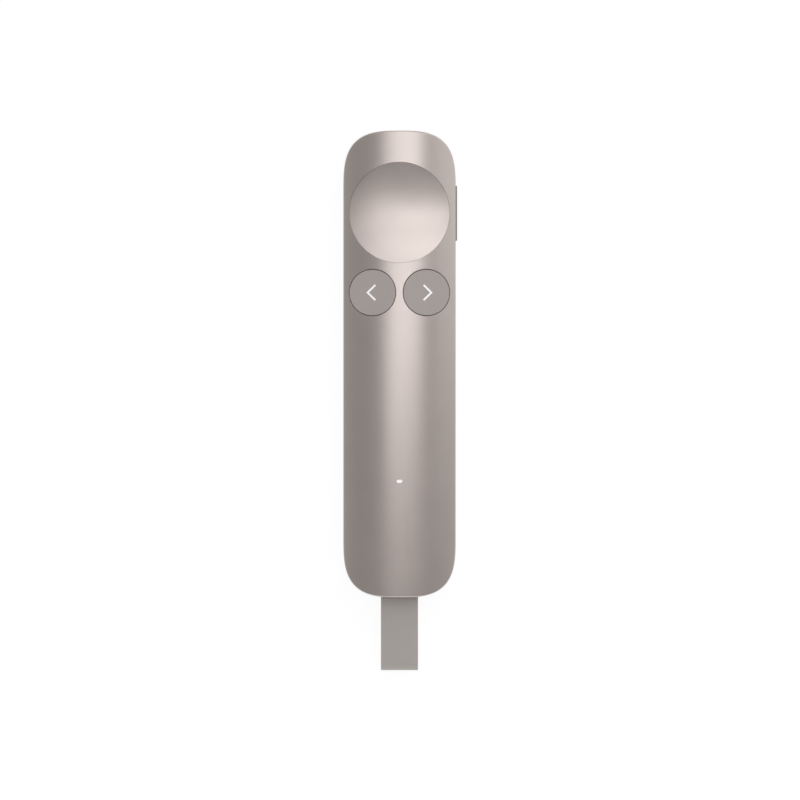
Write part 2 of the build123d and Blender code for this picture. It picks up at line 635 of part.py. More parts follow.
def receiver_insert():
    """The contact carrier inside the plug, slotted for the socket's tongue."""
    outer = SlotOverall(*(size - 2 * PLUG_WALL for size in PLUG_OUTER))
    tip_y = PLUG_TIP_Y - PLUG_WALL
    insert = along_y(outer, RECEIVER_PLATE_Y, tip_y, TAIL_AXIS_Z)
    width, height, depth = PLUG_SLOT
    return insert - along_y(Rectangle(width, height), tip_y - depth, 0, TAIL_AXIS_Z)


def receiver_board():
    """The small radio board inside the receiver's body."""
    width, thickness, length = RECEIVER_BOARD
    return along_y(Rectangle(width, thickness), RECEIVER_PLATE_Y - length, RECEIVER_PLATE_Y, TAIL_AXIS_Z)


def strap_pin():
    """The cross pin that the strap loops round inside the receiver."""
    return along_x(Circle(PIN_RADIUS), -PIN_LENGTH / 2, PIN_LENGTH / 2, PIN_Y, TAIL_AXIS_Z)


def strap_profile(root_radius, fold_radius):
    """A closed loop seen from the side: two tangent legs between the pin end and the free fold."""
    fold_y = TAIL_Y - STRAP_REACH + STRAP_FOLD_RADIUS
    root = Pos(PIN_Y, 0) * Circle(root_radius)
    fold = Pos(fold_y, 0) * Circle(fold_radius)
    return make_hull((root + fold).edges())


def pull_strap():
    """The soft pull strap: one band looped round the pin, folded at its free end."""
    band = strap_profile(STRAP_ROOT_RADIUS, STRAP_FOLD_RADIUS)
    hole = strap_profile(PIN_RADIUS, STRAP_FOLD_RADIUS - STRAP_THICKNESS)
    return along_x(band - hole, -STRAP_WIDTH / 2, STRAP_WIDTH / 2, 0, TAIL_AXIS_Z)


# ---------------------------------------------------------------- write every node
NODES = {
    "top_shell": top_shell,
    "bottom_shell": bottom_shell,
    "chassis": chassis,
    "chassis_screws": chassis_screws,
    "main_board": main_board,
    "radio_shield": radio_shield,
    "charging_chip": lambda: chip("charging_chip"),
    "motion_sensor": lambda: chip("motion_sensor"),
    "chip_antenna": lambda: chip("chip_antenna"),
    "status_led": lambda: chip("status_led"),
    "light_guide": light_guide,
    "battery_cell": battery_cell,
    "battery_foam": battery_foam,
    "battery_tabs": battery_tabs,
    "pointer_button": pointer_button,
    "back_button": lambda: round_button(-1),
    "next_button": lambda: round_button(1),
    "side_key": side_key,
    "side_switch": side_switch,
    "side_plunger": side_plunger,
    "dock_sleeve": dock_sleeve,
    "charge_socket": charge_socket,
    "socket_tongue": socket_tongue,
    "receiver_cap": receiver_cap,
    "receiver_front": receiver_front,
    "receiver_plug": receiver_plug,
    "receiver_insert": receiver_insert,
    "receiver_board": receiver_board,
    "strap_pin": strap_pin,
    "pull_strap": pull_strap,
}
for key in SWITCH_SPOTS:
    NODES[key + "_switch"] = lambda key=key: switch_housing(key)
    NODES[key + "_plunger"] = lambda key=key: switch_plunger(key)

os.makedirs("parts", exist_ok=True)
for node, make in NODES.items():
    export_step(make(), f"parts/{node}.step")
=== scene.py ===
"""Dresses the wireless presentation clicker: its casing, keys, sleeve, receiver and strap, their
finishes, and a plain studio.  Forms are worked out in millimetres and written in metres."""

import json
from math import cos, pi, radians, sin, sqrt

import bpy
import numpy as np
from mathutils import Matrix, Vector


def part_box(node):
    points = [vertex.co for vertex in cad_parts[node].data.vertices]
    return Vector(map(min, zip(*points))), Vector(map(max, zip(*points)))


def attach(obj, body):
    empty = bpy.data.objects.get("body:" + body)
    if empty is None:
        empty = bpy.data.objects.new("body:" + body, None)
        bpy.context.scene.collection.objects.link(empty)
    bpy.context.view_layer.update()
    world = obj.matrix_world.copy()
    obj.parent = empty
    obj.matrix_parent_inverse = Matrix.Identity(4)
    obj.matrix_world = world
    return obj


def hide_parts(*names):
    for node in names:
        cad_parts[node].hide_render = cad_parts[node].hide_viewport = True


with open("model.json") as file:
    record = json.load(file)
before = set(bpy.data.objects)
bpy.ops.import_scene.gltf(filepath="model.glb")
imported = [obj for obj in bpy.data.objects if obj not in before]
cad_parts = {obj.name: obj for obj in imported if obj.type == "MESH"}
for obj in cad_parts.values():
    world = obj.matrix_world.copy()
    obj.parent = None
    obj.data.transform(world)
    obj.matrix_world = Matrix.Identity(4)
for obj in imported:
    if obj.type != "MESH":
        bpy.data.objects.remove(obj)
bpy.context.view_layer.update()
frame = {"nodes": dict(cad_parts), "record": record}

MM = 0.001  # metres in a millimetre


class Box:
    """The box round a CAD node, in millimetres: its two corners, its centre and half its size."""

    def __init__(self, name):
        self.low, self.high = (np.array(corner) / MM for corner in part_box(name))
        self.centre, self.half = (self.low + self.high) / 2, (self.high - self.low) / 2


# ---------------------------------------- the pod
HALF_WIDTH, HALF_LENGTH, HEIGHT = Box("top_shell").high
END_DEPTH = 14.7  # length over which each end rounds off, seen from above
END_POWER = 3.2  # exponent of the superellipse that rounds each end
FLANK = HALF_LENGTH - END_DEPTH  # half the straight length
CROWN_RADIUS = 32.0
TOP_EDGE, BOTTOM_EDGE = 0.4, 3.2  # radii that round the wall into the crown and into the floor
CROWN_SKIN, TOP_WALL = 1.0, 1.1  # thickness of the upper casing under the crown and at its wall
BOTTOM_FLOOR, BOTTOM_WALL = 1.5, 2.3  # thickness of the lower casing at its floor and at its wall
SEAM_TOP, SEAM_BOTTOM = 4.25, 4.15  # heights of the two sides of the parting line
SEAM_EDGE = 0.15  # rounding at the parting line

# ---------------------------------------- keys and status light
POINTER_BOX = Box("pointer_button")
POINTER_Y, POINTER_RADIUS = POINTER_BOX.centre[1], POINTER_BOX.high[0]
POINTER_BASE_Z = POINTER_BOX.low[2]
POINTER_STEP = 0.08  # how far its rim lies under the crown
POINTER_DEPTH = 1.6  # fall of its dish along the body, from the rim to the middle
POINTER_LEAN = 0.45  # strength of the slope that puts the deepest place nearer the tail
POINTER_SKIN, POINTER_SKIRT = 1.2, 1.35  # thickness of its face and of its skirt
POINTER_EDGE = 0.02
POINTER_GAP, POINTER_WELL_EDGE = 0.03, 0.03  # gap to its opening, and the opening's rounding

KEY_BOX = Box("next_button")
KEY_X, KEY_Y = KEY_BOX.centre[:2]
KEY_RADIUS = KEY_BOX.half[0]
KEY_DROP = 0.22  # how far the middle of its face lies under the crown
KEY_BASE_Z = 8.6
KEY_SKIN, KEY_SKIRT, KEY_EDGE = 1.2, 1.1, 0.12
KEY_GAP, KEY_WELL_EDGE = 0.14, 0.05

CHEVRON_TIP, CHEVRON_BACK = 1.21, 0.72  # from the key's centre out to its point and in to its ends
CHEVRON_RISE = 1.89  # from the point along the body to each end
CHEVRON_STROKE = 0.46
CHEVRON_RELIEF, CHEVRON_ROOT = 0.03, 0.1  # how far it stands out of the key and reaches into it

SIDE_BOX = Box("side_key")
SIDE_Y, SIDE_Z = SIDE_BOX.centre[1:]
SIDE_BAR = (13.95 / 2, 2.1 / 2)  # half the length and half the height of what shows
SIDE_STRAIGHT = SIDE_BAR[0] - SIDE_BAR[1]  # half the length between its round ends
SIDE_FLANGE = 0.75  # thickness of the wider part behind the wall
SIDE_EDGE = 0.3
SIDE_GAP = 0.1
SIDE_SLOT_RADIUS = SIDE_BAR[1] + SIDE_GAP

LIGHT_BOX = Box("light_guide")
LIGHT_Y = LIGHT_BOX.centre[1]
LIGHT_HOLE, LIGHT_WELL_EDGE = (1.60 / 2, 0.94 / 2), 0.04  # half sizes, and the rounding
LIGHT_TIP, LIGHT_TIP_EDGE = (1.50 / 2, 0.84 / 2), 0.08
LIGHT_SINK = 0.01  # how far the tip stays under its highest place
LIGHT_COLLAR = 1.3  # radius of the part behind the casing
LIGHT_COLLAR_Z = HEIGHT - 1.5 * CROWN_SKIN  # the collar's top, half a skin under the casing

# ---------------------------------------- tail
# A rounded rectangle is given as half its width, half its height and the radius of its corners.
SLEEVE_BOX = Box("dock_sleeve")
TAIL_Z = SLEEVE_BOX.centre[2]
DOCK = (7.15, SLEEVE_BOX.half[2], 2.0)
MOUTH = (6.45, 3.45, 1.65)
SLEEVE_PROUD, SLEEVE_EDGE = 0.15, 0.14  # how far the lip stands out of the tail, and its rounding
SLEEVE_FLOOR = (6.8, 3.8, 2.0)  # the plate that closes its inner end, round the charging socket
SLEEVE_FLOOR_SKIN = 0.6
SOCKET_SLOT = (4.52, 1.63, 1.63)

CAP_BOX = Box("receiver_cap")
CAP = (CAP_BOX.high[0], CAP_BOX.half[2], 1.7)
CAP_WALL, CAP_EDGE = 0.75, 0.25
CAP_ROOM = tuple(size - CAP_WALL for size in CAP)
CAP_RECESS = 0.1  # how far its rear lies inside the tail

STRAP_BOX = Box("pull_strap")
STRAP_HALF_WIDTH = STRAP_BOX.high[0]
STRAP_FOLD = STRAP_BOX.half[2]  # outer radius of the free fold
STRAP_THICKNESS, STRAP_CORNER = 0.9, 0.2
PIN_BOX = Box("strap_pin")
PIN_Y, PIN_RADIUS = PIN_BOX.centre[1], PIN_BOX.half[1]
SLOT_ROOM, SLOT_EDGE = 0.15, 0.1  # room round the strap in its slot, and the slot's rounding
SLOT = (STRAP_HALF_WIDTH + SLOT_ROOM, PIN_RADIUS + STRAP_THICKNESS + SLOT_ROOM, 0.3)
SLOT_END_Y = PIN_Y + SLOT[1]

# ---------------------------------------- how finely the surfaces are cut
WELD = 0.0002  # points closer than this are one
SLIVER = 0.03  # an opening is closed where half its width is less than this
OUTLINE_SAMPLES = 80001
END_ROWS, FLANK_ROWS, DOCK_ROWS = 41, 25, 9  # of a casing: round an end, along a flank, at the dock
SLOT_END_ROWS = 7
WELL_ROWS = (13, 41, 61)  # across the openings for the light, a round key and the pointer key
CROWN_COLUMNS = (10, 8)  # from the centre line to a round key, and from there to the edge
FLOOR_COLUMNS = 10
WALL_ROWS, TRAY_ROWS, INSIDE_ROWS = 5, 3, 4  # up the upper wall, the lower wall and inside both
EDGE_ROWS, ROUND_ROWS = 6, 17  # across a small rounding and across a large one
KEY_POINTS, KEY_RINGS, KEY_EDGE_RINGS, KEY_SKIRT_RINGS, KEY_UNDER_RINGS = 161, 25, 7, 4, 8
CORNER_POINTS, STRAIGHT_POINTS = 11, 12  # of a rounded rectangle
PIN_ROWS, FOLD_ROWS, BAND_ROWS = 25, 49, 26  # of the strap: at the pin, at the fold, on a straight


# ---------------------------------------- gathering grids into one closed mesh
def stack(*parts):
    """Joins x, y and z arrays of any matching shapes into one array of points."""
    return np.stack(np.broadcast_arrays(*parts), -1).astype(float)


def unit(vectors):
    """The vectors, each divided by its length."""
    return vectors / np.linalg.norm(vectors, axis=-1, keepdims=True)


def shares(count):
    """Even steps from 0 to 1."""
    return np.linspace(0, 1, count)


def blend(start, stop, share):
    """From start to stop by a share that runs down the first axis of the answer."""
    share = np.reshape(share, (-1,) + (1,) * np.ndim(start))
    return start * (1 - share) + stop * share


class Skin:
    """A surface gathered from grids of points, each with normals, which keep the shading exact.

    Where grids share an edge its points are welded, and faces that shrink to nothing go.
    """

    def __init__(self):
        self.points, self.normals, self.faces, self.count = [], [], [], 0

    def add(self, points, normals, side=1):
        """Adds a grid, mirrored in x where side is -1, with faces that agree with the normals."""
        mirror = np.array([side, 1, 1])
        points, normals = points * mirror, np.broadcast_to(normals, points.shape) * mirror
        rows, columns = points.shape[:2]
        index = np.arange(rows * columns).reshape(rows, columns)
        corners = [index[:-1, :-1], index[1:, :-1], index[1:, 1:], index[:-1, 1:]]
        a, b, c, d = (corner.ravel() for corner in corners)
        faces = np.concatenate([np.stack([a, b, c], 1), np.stack([a, c, d], 1)])
        flat_points, flat_normals = points.reshape(-1, 3), normals.reshape(-1, 3)
        p, q, r = (flat_points[faces[:, k]] for k in range(3))
        facing = (np.cross(q - p, r - p) * flat_normals[faces].sum(1)).sum(1)
        faces[facing < 0] = faces[facing < 0][:, ::-1]
        self.points.append(flat_points)
        self.normals.append(flat_normals)
        self.faces.append(faces + self.count)
        self.count += rows * columns

    def mesh(self, name):
        """Welds the grids and writes them, in metres, with their normals."""
        points, normals = np.concatenate(self.points), np.concatenate(self.normals)
        faces = np.concatenate(self.faces)
        cells = np.round(points / WELD).astype(np.int64)
        _, first, same = np.unique(cells, axis=0, return_index=True, return_inverse=True)
        welded = same.reshape(-1)[faces]
        a, b, c = welded.T
        real = (a != b) & (b != c) & (c != a)
        faces, welded = faces[real], welded[real]
        data = bpy.data.meshes.new(name)
        data.from_pydata(points[first] * MM, [], welded)
        data.polygons.foreach_set("use_smooth", np.ones(len(welded), bool))
        data.normals_split_custom_set(unit(normals[faces.ravel()]))
        data.update()
        return data


def add_object(name, data):
    """Puts an object with this data in the scene."""
    made = bpy.data.objects.new(name, data)
    bpy.context.scene.collection.objects.link(made)
    return made


def piece(name, skin, body, slot, finish, *nodes):
    """Makes a skin an object that rides on a body and stands for CAD nodes.  slot is not used."""
    made = add_object(name, skin.mesh(name))
    made.data.materials.append(finish)
    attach(made, body)
    if nodes:
        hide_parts(*nodes)


# ---------------------------------------- the pod's form
def rim(turn, inset=0.0):
    """The pod's outline in plan on its right side, moved in by inset, and its normal: x, y, nx, ny.

    turn runs from -2 at the tip of the tail to 2 at the tip of the nose.  Between -1 and 1 it is
    the straight flank.  Beyond that it is a quarter of a superellipse: x is a cos^q and y is
    b sin^q of an angle, where q is 2 / END_POWER.
    """
    angle = np.clip(np.abs(turn) - 1, 0, 1) * pi / 2
    across = np.cos(angle).clip(0) ** (2 / END_POWER)
    along = np.sin(angle) ** (2 / END_POWER)
    end = np.sign(turn)
    x = HALF_WIDTH * across
    y = end * (FLANK * np.minimum(np.abs(turn), 1) + END_DEPTH * along)
    nx, ny = across ** (END_POWER - 1) / HALF_WIDTH, end * along ** (END_POWER - 1) / END_DEPTH
    size = np.hypot(nx, ny)
    nx, ny = nx / size, ny / size
    return x - inset * nx, y - inset * ny, nx, ny


TURNS = np.linspace(-2, 2, OUTLINE_SAMPLES)


def turn_at_y(y, inset=0.0):
    """The turn at which the inset outline is at y."""
    return np.interp(y, rim(TURNS, inset)[1], TURNS)


def tail_turn_at_x(x, inset=0.0):
    """The turn in the tail end at which the inset outline is at x."""
    tail = TURNS[TURNS <= -1]
    return np.interp(x, rim(tail, inset)[0], tail)


def crown_z(x, drop=0.0):
    """Height of the crown, a cylinder along y, lowered by drop."""
    return HEIGHT - CROWN_RADIUS + np.sqrt(CROWN_RADIUS**2 - x * x) - drop


def crown_normal(x):
    """The crown's upward normal."""
    return stack(x / CROWN_RADIUS, 0, np.sqrt(1 - (x / CROWN_RADIUS) ** 2))


def ball_z(x):
    """Height of the middle of a ball of radius TOP_EDGE that rolls under the crown."""
    return HEIGHT - CROWN_RADIUS + np.sqrt((CROWN_RADIUS - TOP_EDGE) ** 2 - x * x)


def opened(half):
    """Half the width of an opening, with the slivers at its ends closed."""
    return np.where(half < SLIVER, 0, half)


def half_gap(y, opening):
    """Half the width of an oval opening, grown by its rounded edge, at y, and 0 past its ends."""
    _, centre_y, half_x, half_y, edge = opening
    along = (y - centre_y) / (half_y + edge)
    return opened((half_x + edge) * np.sqrt(np.clip(1 - along**2, 0, 1)))


def round_opening(x, y, radius, edge):
    """An opening: x and y of its centre, half its width, half its length and its rounding."""
    return x, y, radius, radius, edge


def without_edge(opening):
    """The same opening below its rounded edge."""
    return opening[:4] + (0.0,)


LIGHT_OPENING = (0.0, LIGHT_Y, *LIGHT_HOLE, LIGHT_WELL_EDGE)
KEY_OPENING = round_opening(KEY_X, KEY_Y, KEY_RADIUS + KEY_GAP, KEY_WELL_EDGE)
POINTER_OPENING = round_opening(0.0, POINTER_Y, POINTER_RADIUS + POINTER_GAP, POINTER_WELL_EDGE)
CROWN_OPENINGS = (LIGHT_OPENING, KEY_OPENING, POINTER_OPENING)  # from the tail to the nose
WELL_WALLS = (  # each wall's opening, and the strip and the column of the crown that end at it
    (LIGHT_OPENING, 0, 0),
    (POINTER_OPENING, 0, 0),
    (KEY_OPENING, 0, -1),
    (KEY_OPENING, 1, 0),
)


def bunch(centre, half, count):
    """Places from one end of a round opening to the other, closer together towards its ends."""
    return centre + half * np.sin(np.linspace(-pi / 2, pi / 2, count))


def stations(*extra):
    """Turns of a casing's rows, with some extra ones, and the row at the dock's side."""
    ends, flank = np.linspace(1, 2, END_ROWS), np.linspace(-1, 1, FLANK_ROWS)
    corner = DOCK[0] - DOCK[2] + DOCK[2] * np.sin(np.linspace(0, pi / 2, DOCK_ROWS))
    turns = np.concatenate([-ends, ends, flank, tail_turn_at_x(corner), *extra])
    turns = np.unique(np.round(turns, 9))
    dock_row = int(np.argmin(np.abs(turns - tail_turn_at_x(DOCK[0]))))
    return turns, dock_row


def inner_turns(turns, dock_row, inset, outer_marks=(), inner_marks=()):
    """Turns of the inside wall's rows: level with x in the dock, elsewhere with marks along y."""
    by_x = tail_turn_at_x(rim(turns)[0], inset)
    y = rim(turns, TOP_EDGE)[1]
    outer = [y[dock_row], *outer_marks, y[-1]]
    inner = [rim(by_x[dock_row], inset)[1], *inner_marks, rim(2.0, inset)[1]]
    by_y = turn_at_y(np.interp(y, outer, inner), inset)
    return np.where(np.arange(len(turns)) <= dock_row, by_x, by_y)


def dock_edge_z(x, up):
    """Height of the dock opening's upper or lower edge at x: straight, with rounded corners."""
    reach = np.clip(np.abs(x) - (DOCK[0] - DOCK[2]), 0, DOCK[2])
    return TAIL_Z + up * (DOCK[1] - DOCK[2] + np.sqrt(DOCK[2] ** 2 - reach**2))


def dock_inward(x, up):
    """Normal of the dock opening's edge, towards its middle."""
    reach = np.clip(np.abs(x) - (DOCK[0] - DOCK[2]), 0, DOCK[2]) / DOCK[2]
    return stack(-reach, 0, -up * np.sqrt(1 - reach**2))


def side_slot_half(y):
    """Half the height of the side key's slot at y: a bar with round ends."""
    past = np.clip(np.abs(y - SIDE_Y) - SIDE_STRAIGHT, 0, SIDE_SLOT_RADIUS)
    return opened(np.sqrt(SIDE_SLOT_RADIUS**2 - past**2))


def rows_of(half):
    """The rows in an opening, with the row at each of its ends."""
    inside = np.flatnonzero(half > 0)
    return slice(inside[0] - 1, inside[-1] + 2)


# ---------------------------------------- casings
def seam_wall(skin, side, outline, inside, rows, seam, up, stop_z, count):
    """One side of a casing's wall from the parting line to stop_z, beyond the dock.

    It is a rounded edge and the outside wall, the rim, the inside wall, and the end at the dock's
    side.  outline and inside are the outer and the inner face's x, y and normal.  up is 1 for the
    upper casing and -1 for the lower one.  count is the number of points up the wall.
    """
    x, y, nx, ny = outline
    inner_x, inner_y, inner_nx, inner_ny = inside
    lean = np.linspace(pi / 2, 0, EDGE_ROWS)[:, None]
    inset = SEAM_EDGE * (1 - np.cos(lean))
    edge_z = seam + up * SEAM_EDGE * (1 - np.sin(lean)) + 0 * x
    edge = stack(x - inset * nx, y - inset * ny, edge_z)
    edge_normal = stack(nx * np.cos(lean), ny * np.cos(lean), -up * np.sin(lean))
    wall_z = blend(edge_z[-1], stop_z, shares(count))
    wall = stack(x, y, wall_z)
    rim_points = np.stack([edge[0], stack(inner_x, inner_y, seam)])
    inner_wall = stack(inner_x, inner_y, np.concatenate([edge_z, wall_z]))
    outer_end = np.concatenate([edge, wall])[:, rows.start]
    skin.add(edge[:, rows], edge_normal[:, rows], side)
    skin.add(wall[:, rows], stack(nx, ny, 0)[rows], side)
    skin.add(rim_points[:, rows], (0, 0, -up), side)
    skin.add(inner_wall[:, rows], -stack(inner_nx, inner_ny, 0)[rows], side)
    skin.add(np.stack([outer_end, inner_wall[:, rows.start]]), (-1, 0, 0), side)


def crown_strips(y, edge_x, openings):
    """x of the crown's columns in two strips: centre line or opening to key, and key to edge_x."""
    light, key, pointer = (half_gap(y, opening) for opening in openings)
    centre = light + pointer
    split = centre + (edge_x - centre) * KEY_X / edge_x.max()
    near = blend(centre, split - key, shares(CROWN_COLUMNS[0]))
    far = blend(split + key, edge_x, shares(CROWN_COLUMNS[1]))
    return near, far


def well_wall(skin, side, opening, y, x, inner_y, inner_x):
    """One side of an opening's wall: a quarter round from the crown, then down to the inside."""
    centre_x, centre_y, half_x, half_y, edge = opening
    share_x, share_y = (x - centre_x) / (half_x + edge), (y - centre_y) / (half_y + edge)
    away = unit(stack(share_x / half_x, share_y / half_y, 0))
    lean = np.linspace(0, pi / 2, EDGE_ROWS)[:, None]
    grow = edge * (1 - np.sin(lean))
    edge_x, edge_y = centre_x + share_x * (half_x + grow), centre_y + share_y * (half_y + grow)
    points = stack(edge_x, edge_y, crown_z(edge_x, edge * (1 - np.cos(lean))))
    normals = unit(crown_normal(edge_x) * np.cos(lean)[..., None] - away * np.sin(lean)[..., None])
    skin.add(points, normals, side)
    foot = stack(inner_x, inner_y, crown_z(inner_x, CROWN_SKIN))
    skin.add(np.stack([points[-1], foot]), -away, side)


def rolled_edge(ball, wall_normal, top_normal, from_z):
    """Points and normals on the ball rolled between wall and crown, from from_z up to the crown.

    Its contact runs from the wall's normal to the crown's by spherical interpolation.
    """
    spread = np.arccos((wall_normal * top_normal).sum(-1))
    rise = (from_z - ball[:, 2]) * np.sin(spread) / (TOP_EDGE * top_normal[:, 2])
    start = np.arcsin(np.clip(rise, 0, 1))
    share = blend(start / spread, 1.0, shares(ROUND_ROWS))
    sines = np.sin((1 - share) * spread)[..., None], np.sin(share * spread)[..., None]
    normals = (wall_normal * sines[0] + top_normal * sines[1]) / np.sin(spread)[:, None]
    return ball + TOP_EDGE * normals, normals


def upper_rows():
    """Turns of the upper casing's rows, outside and inside, and the row at the dock's side.

    Each opening starts and ends on a row, outside and inside alike, with its rows closer there.
    """
    outer_marks, inner_marks, extra = [], [], []
    for opening, count in zip(CROWN_OPENINGS, WELL_ROWS):
        _, centre_y, _, half_y, edge = opening
        outer_marks += [centre_y - half_y - edge, centre_y + half_y + edge]
        inner_marks += [centre_y - half_y, centre_y + half_y]
        extra.append(turn_at_y(bunch(centre_y, half_y + edge, count), TOP_EDGE))
    slot_end = SIDE_STRAIGHT + SIDE_SLOT_RADIUS * np.sin(np.linspace(0, pi / 2, SLOT_END_ROWS))
    extra += [turn_at_y(SIDE_Y - slot_end), turn_at_y(SIDE_Y + slot_end)]
    turns, dock_row = stations(*extra)
    return turns, inner_turns(turns, dock_row, TOP_WALL, outer_marks, inner_marks), dock_row


def upper_casing():
    """The crowned upper casing, a closed shell: wall, rolled edge, and crown with its openings."""
    skin = Skin()
    turns, inner, dock_row = upper_rows()
    outline, inside = rim(turns), rim(inner, TOP_WALL)
    x, y, nx, ny = outline
    inner_x, inner_y, inner_nx, inner_ny = inside
    wall_normal, inner_normal = stack(nx, ny, 0), -stack(inner_nx, inner_ny, 0)
    ball_x, ball_y, _, _ = rim(turns, TOP_EDGE)
    ball = stack(ball_x, ball_y, ball_z(ball_x))
    edge_x = ball_x * CROWN_RADIUS / (CROWN_RADIUS - TOP_EDGE)
    outer_strips = crown_strips(ball_y, edge_x, CROWN_OPENINGS)
    bare_openings = [without_edge(opening) for opening in CROWN_OPENINGS]
    inner_strips = crown_strips(inner_y, inner_x, bare_openings)
    tail, rest = slice(0, dock_row + 1), slice(dock_row, None)
    shoulder_z = TAIL_Z + DOCK[1] - DOCK[2]
    middle_z = np.interp(y, (y[dock_row], y[dock_row] + END_DEPTH), (shoulder_z, SIDE_Z))

    for side in (-1, 1):
        slot = side_slot_half(y) if side > 0 else np.zeros_like(y)
        low_z = middle_z - slot
        high_z = np.where(np.arange(len(y)) < dock_row, dock_edge_z(x, 1), middle_z + slot)
        seam_wall(skin, side, outline, inside, rest, SEAM_TOP, 1, low_z, WALL_ROWS)

        edge_points, edge_normals = rolled_edge(ball, wall_normal, crown_normal(edge_x), high_z)
        foot = np.where((high_z < ball[:, 2])[:, None], stack(x, y, high_z), edge_points[0])
        inner_z = blend(high_z, crown_z(inner_x, CROWN_SKIN), shares(INSIDE_ROWS))
        inner_wall = stack(inner_x, inner_y, inner_z)
        skin.add(edge_points, edge_normals, side)
        skin.add(blend(foot, edge_points[0], shares(WALL_ROWS)), wall_normal, side)
        skin.add(inner_wall, inner_normal, side)
        skin.add(np.stack([foot[tail], inner_wall[0][tail]]), dock_inward(x, 1)[tail], side)

        if side > 0:
            rows = rows_of(slot)
            level = np.clip(y[rows] - SIDE_Y, -SIDE_STRAIGHT, SIDE_STRAIGHT)
            for slot_z in (low_z[rows], high_z[rows]):
                inward = unit(stack(0, level + SIDE_Y - y[rows], SIDE_Z - slot_z))
                outer_edge = stack(x[rows], y[rows], slot_z)
                inner_edge = stack(inner_x[rows], inner_y[rows], slot_z)
                skin.add(np.stack([outer_edge, inner_edge]), inward, side)

        for outer_x, lower_x in zip(outer_strips, inner_strips):
            skin.add(stack(outer_x, ball_y, crown_z(outer_x)), crown_normal(outer_x), side)
            underside = stack(lower_x, inner_y, crown_z(lower_x, CROWN_SKIN))
            skin.add(underside, -crown_normal(lower_x), side)
        for opening, strip, column in WELL_WALLS:
            rows = rows_of(half_gap(ball_y, opening))
            outer, lower = outer_strips[strip][column][rows], inner_strips[strip][column][rows]
            well_wall(skin, side, opening, ball_y[rows], outer, inner_y[rows], lower)
    return skin


def lower_casing():
    """The tray-shaped lower casing, a closed shell: wall, quarter round and floor."""
    skin = Skin()
    turns, dock_row = stations()
    outline = rim(turns)
    inside = rim(inner_turns(turns, dock_row, BOTTOM_WALL), BOTTOM_WALL)
    x, y, nx, ny = outline
    inner_x, inner_y, inner_nx, inner_ny = inside
    tail, rest = slice(0, dock_row + 1), slice(dock_row, None)
    shoulder_z = TAIL_Z - DOCK[1] + DOCK[2]
    open_z = np.where(np.arange(len(y)) < dock_row, dock_edge_z(x, -1), shoulder_z)
    start = np.arcsin(np.clip((BOTTOM_EDGE - open_z) / BOTTOM_EDGE, 0, 1))
    lean = blend(start, pi / 2, shares(ROUND_ROWS))
    ball_x, ball_y, _, _ = rim(turns, BOTTOM_EDGE)
    round_normal = stack(nx * np.cos(lean), ny * np.cos(lean), -np.sin(lean))
    round_points = stack(ball_x, ball_y, BOTTOM_EDGE) + BOTTOM_EDGE * round_normal
    foot = np.where((open_z > BOTTOM_EDGE)[:, None], stack(x, y, open_z), round_points[0])
    inner_wall = stack(inner_x, inner_y, blend(open_z, BOTTOM_FLOOR, shares(INSIDE_ROWS)))
    across = shares(FLOOR_COLUMNS)[:, None]

    for side in (-1, 1):
        seam_wall(skin, side, outline, inside, rest, SEAM_BOTTOM, -1, open_z, TRAY_ROWS)
        skin.add(blend(foot, round_points[0], shares(TRAY_ROWS)), stack(nx, ny, 0), side)
        skin.add(round_points, round_normal, side)
        skin.add(stack(ball_x * across, ball_y, 0), (0, 0, -1), side)
        skin.add(inner_wall, -stack(inner_nx, inner_ny, 0), side)
        skin.add(stack(inner_x * across, inner_y, BOTTOM_FLOOR), (0, 0, 1), side)
        skin.add(np.stack([foot[tail], inner_wall[0][tail]]), dock_inward(x, -1)[tail], side)
    return skin


# ---------------------------------------- round keys
def dish_z(x, y):
    """Height of the pointer key's dish: an arc along y carried along a gentler arc across.

    To it comes POINTER_LEAN u (1 - u^2 - v^2), where u and v are y and x from the key's centre
    over its radius: nothing at the rim, and inside it a slope that puts the deepest place nearer
    the tail.
    """
    v, u = x / POINTER_RADIUS, (y - POINTER_Y) / POINTER_RADIUS
    lean = POINTER_LEAN * u * (1 - u * u - v * v)
    rim_z, side_z = HEIGHT - POINTER_STEP, crown_z(POINTER_RADIUS, POINTER_STEP)
    centre_z = rim_z - POINTER_DEPTH
    fall = centre_z - side_z
    along_radius = (POINTER_RADIUS**2 + POINTER_DEPTH**2) / (2 * POINTER_DEPTH)
    across_radius = (POINTER_RADIUS**2 + fall**2) / (2 * fall)
    swell = across_radius + along_radius - np.sqrt(along_radius**2 - (y - POINTER_Y) ** 2)
    return centre_z - across_radius + np.sqrt(swell**2 - x * x) + lean


def key_z(x, y):
    """Height of the right-hand round key's face: flat, and along the crown at its centre."""
    slope = KEY_X / sqrt(CROWN_RADIUS**2 - KEY_X**2)
    return crown_z(KEY_X, KEY_DROP) - (x - KEY_X) * slope + 0 * y


def face_normal(height, x, y, step=0.01):
    """Upward normal of a face given by its height, from its slopes."""
    slope_x = (height(x + step, y) - height(x - step, y)) / (2 * step)
    slope_y = (height(x, y + step) - height(x, y - step)) / (2 * step)
    return unit(stack(-slope_x, -slope_y, 1))


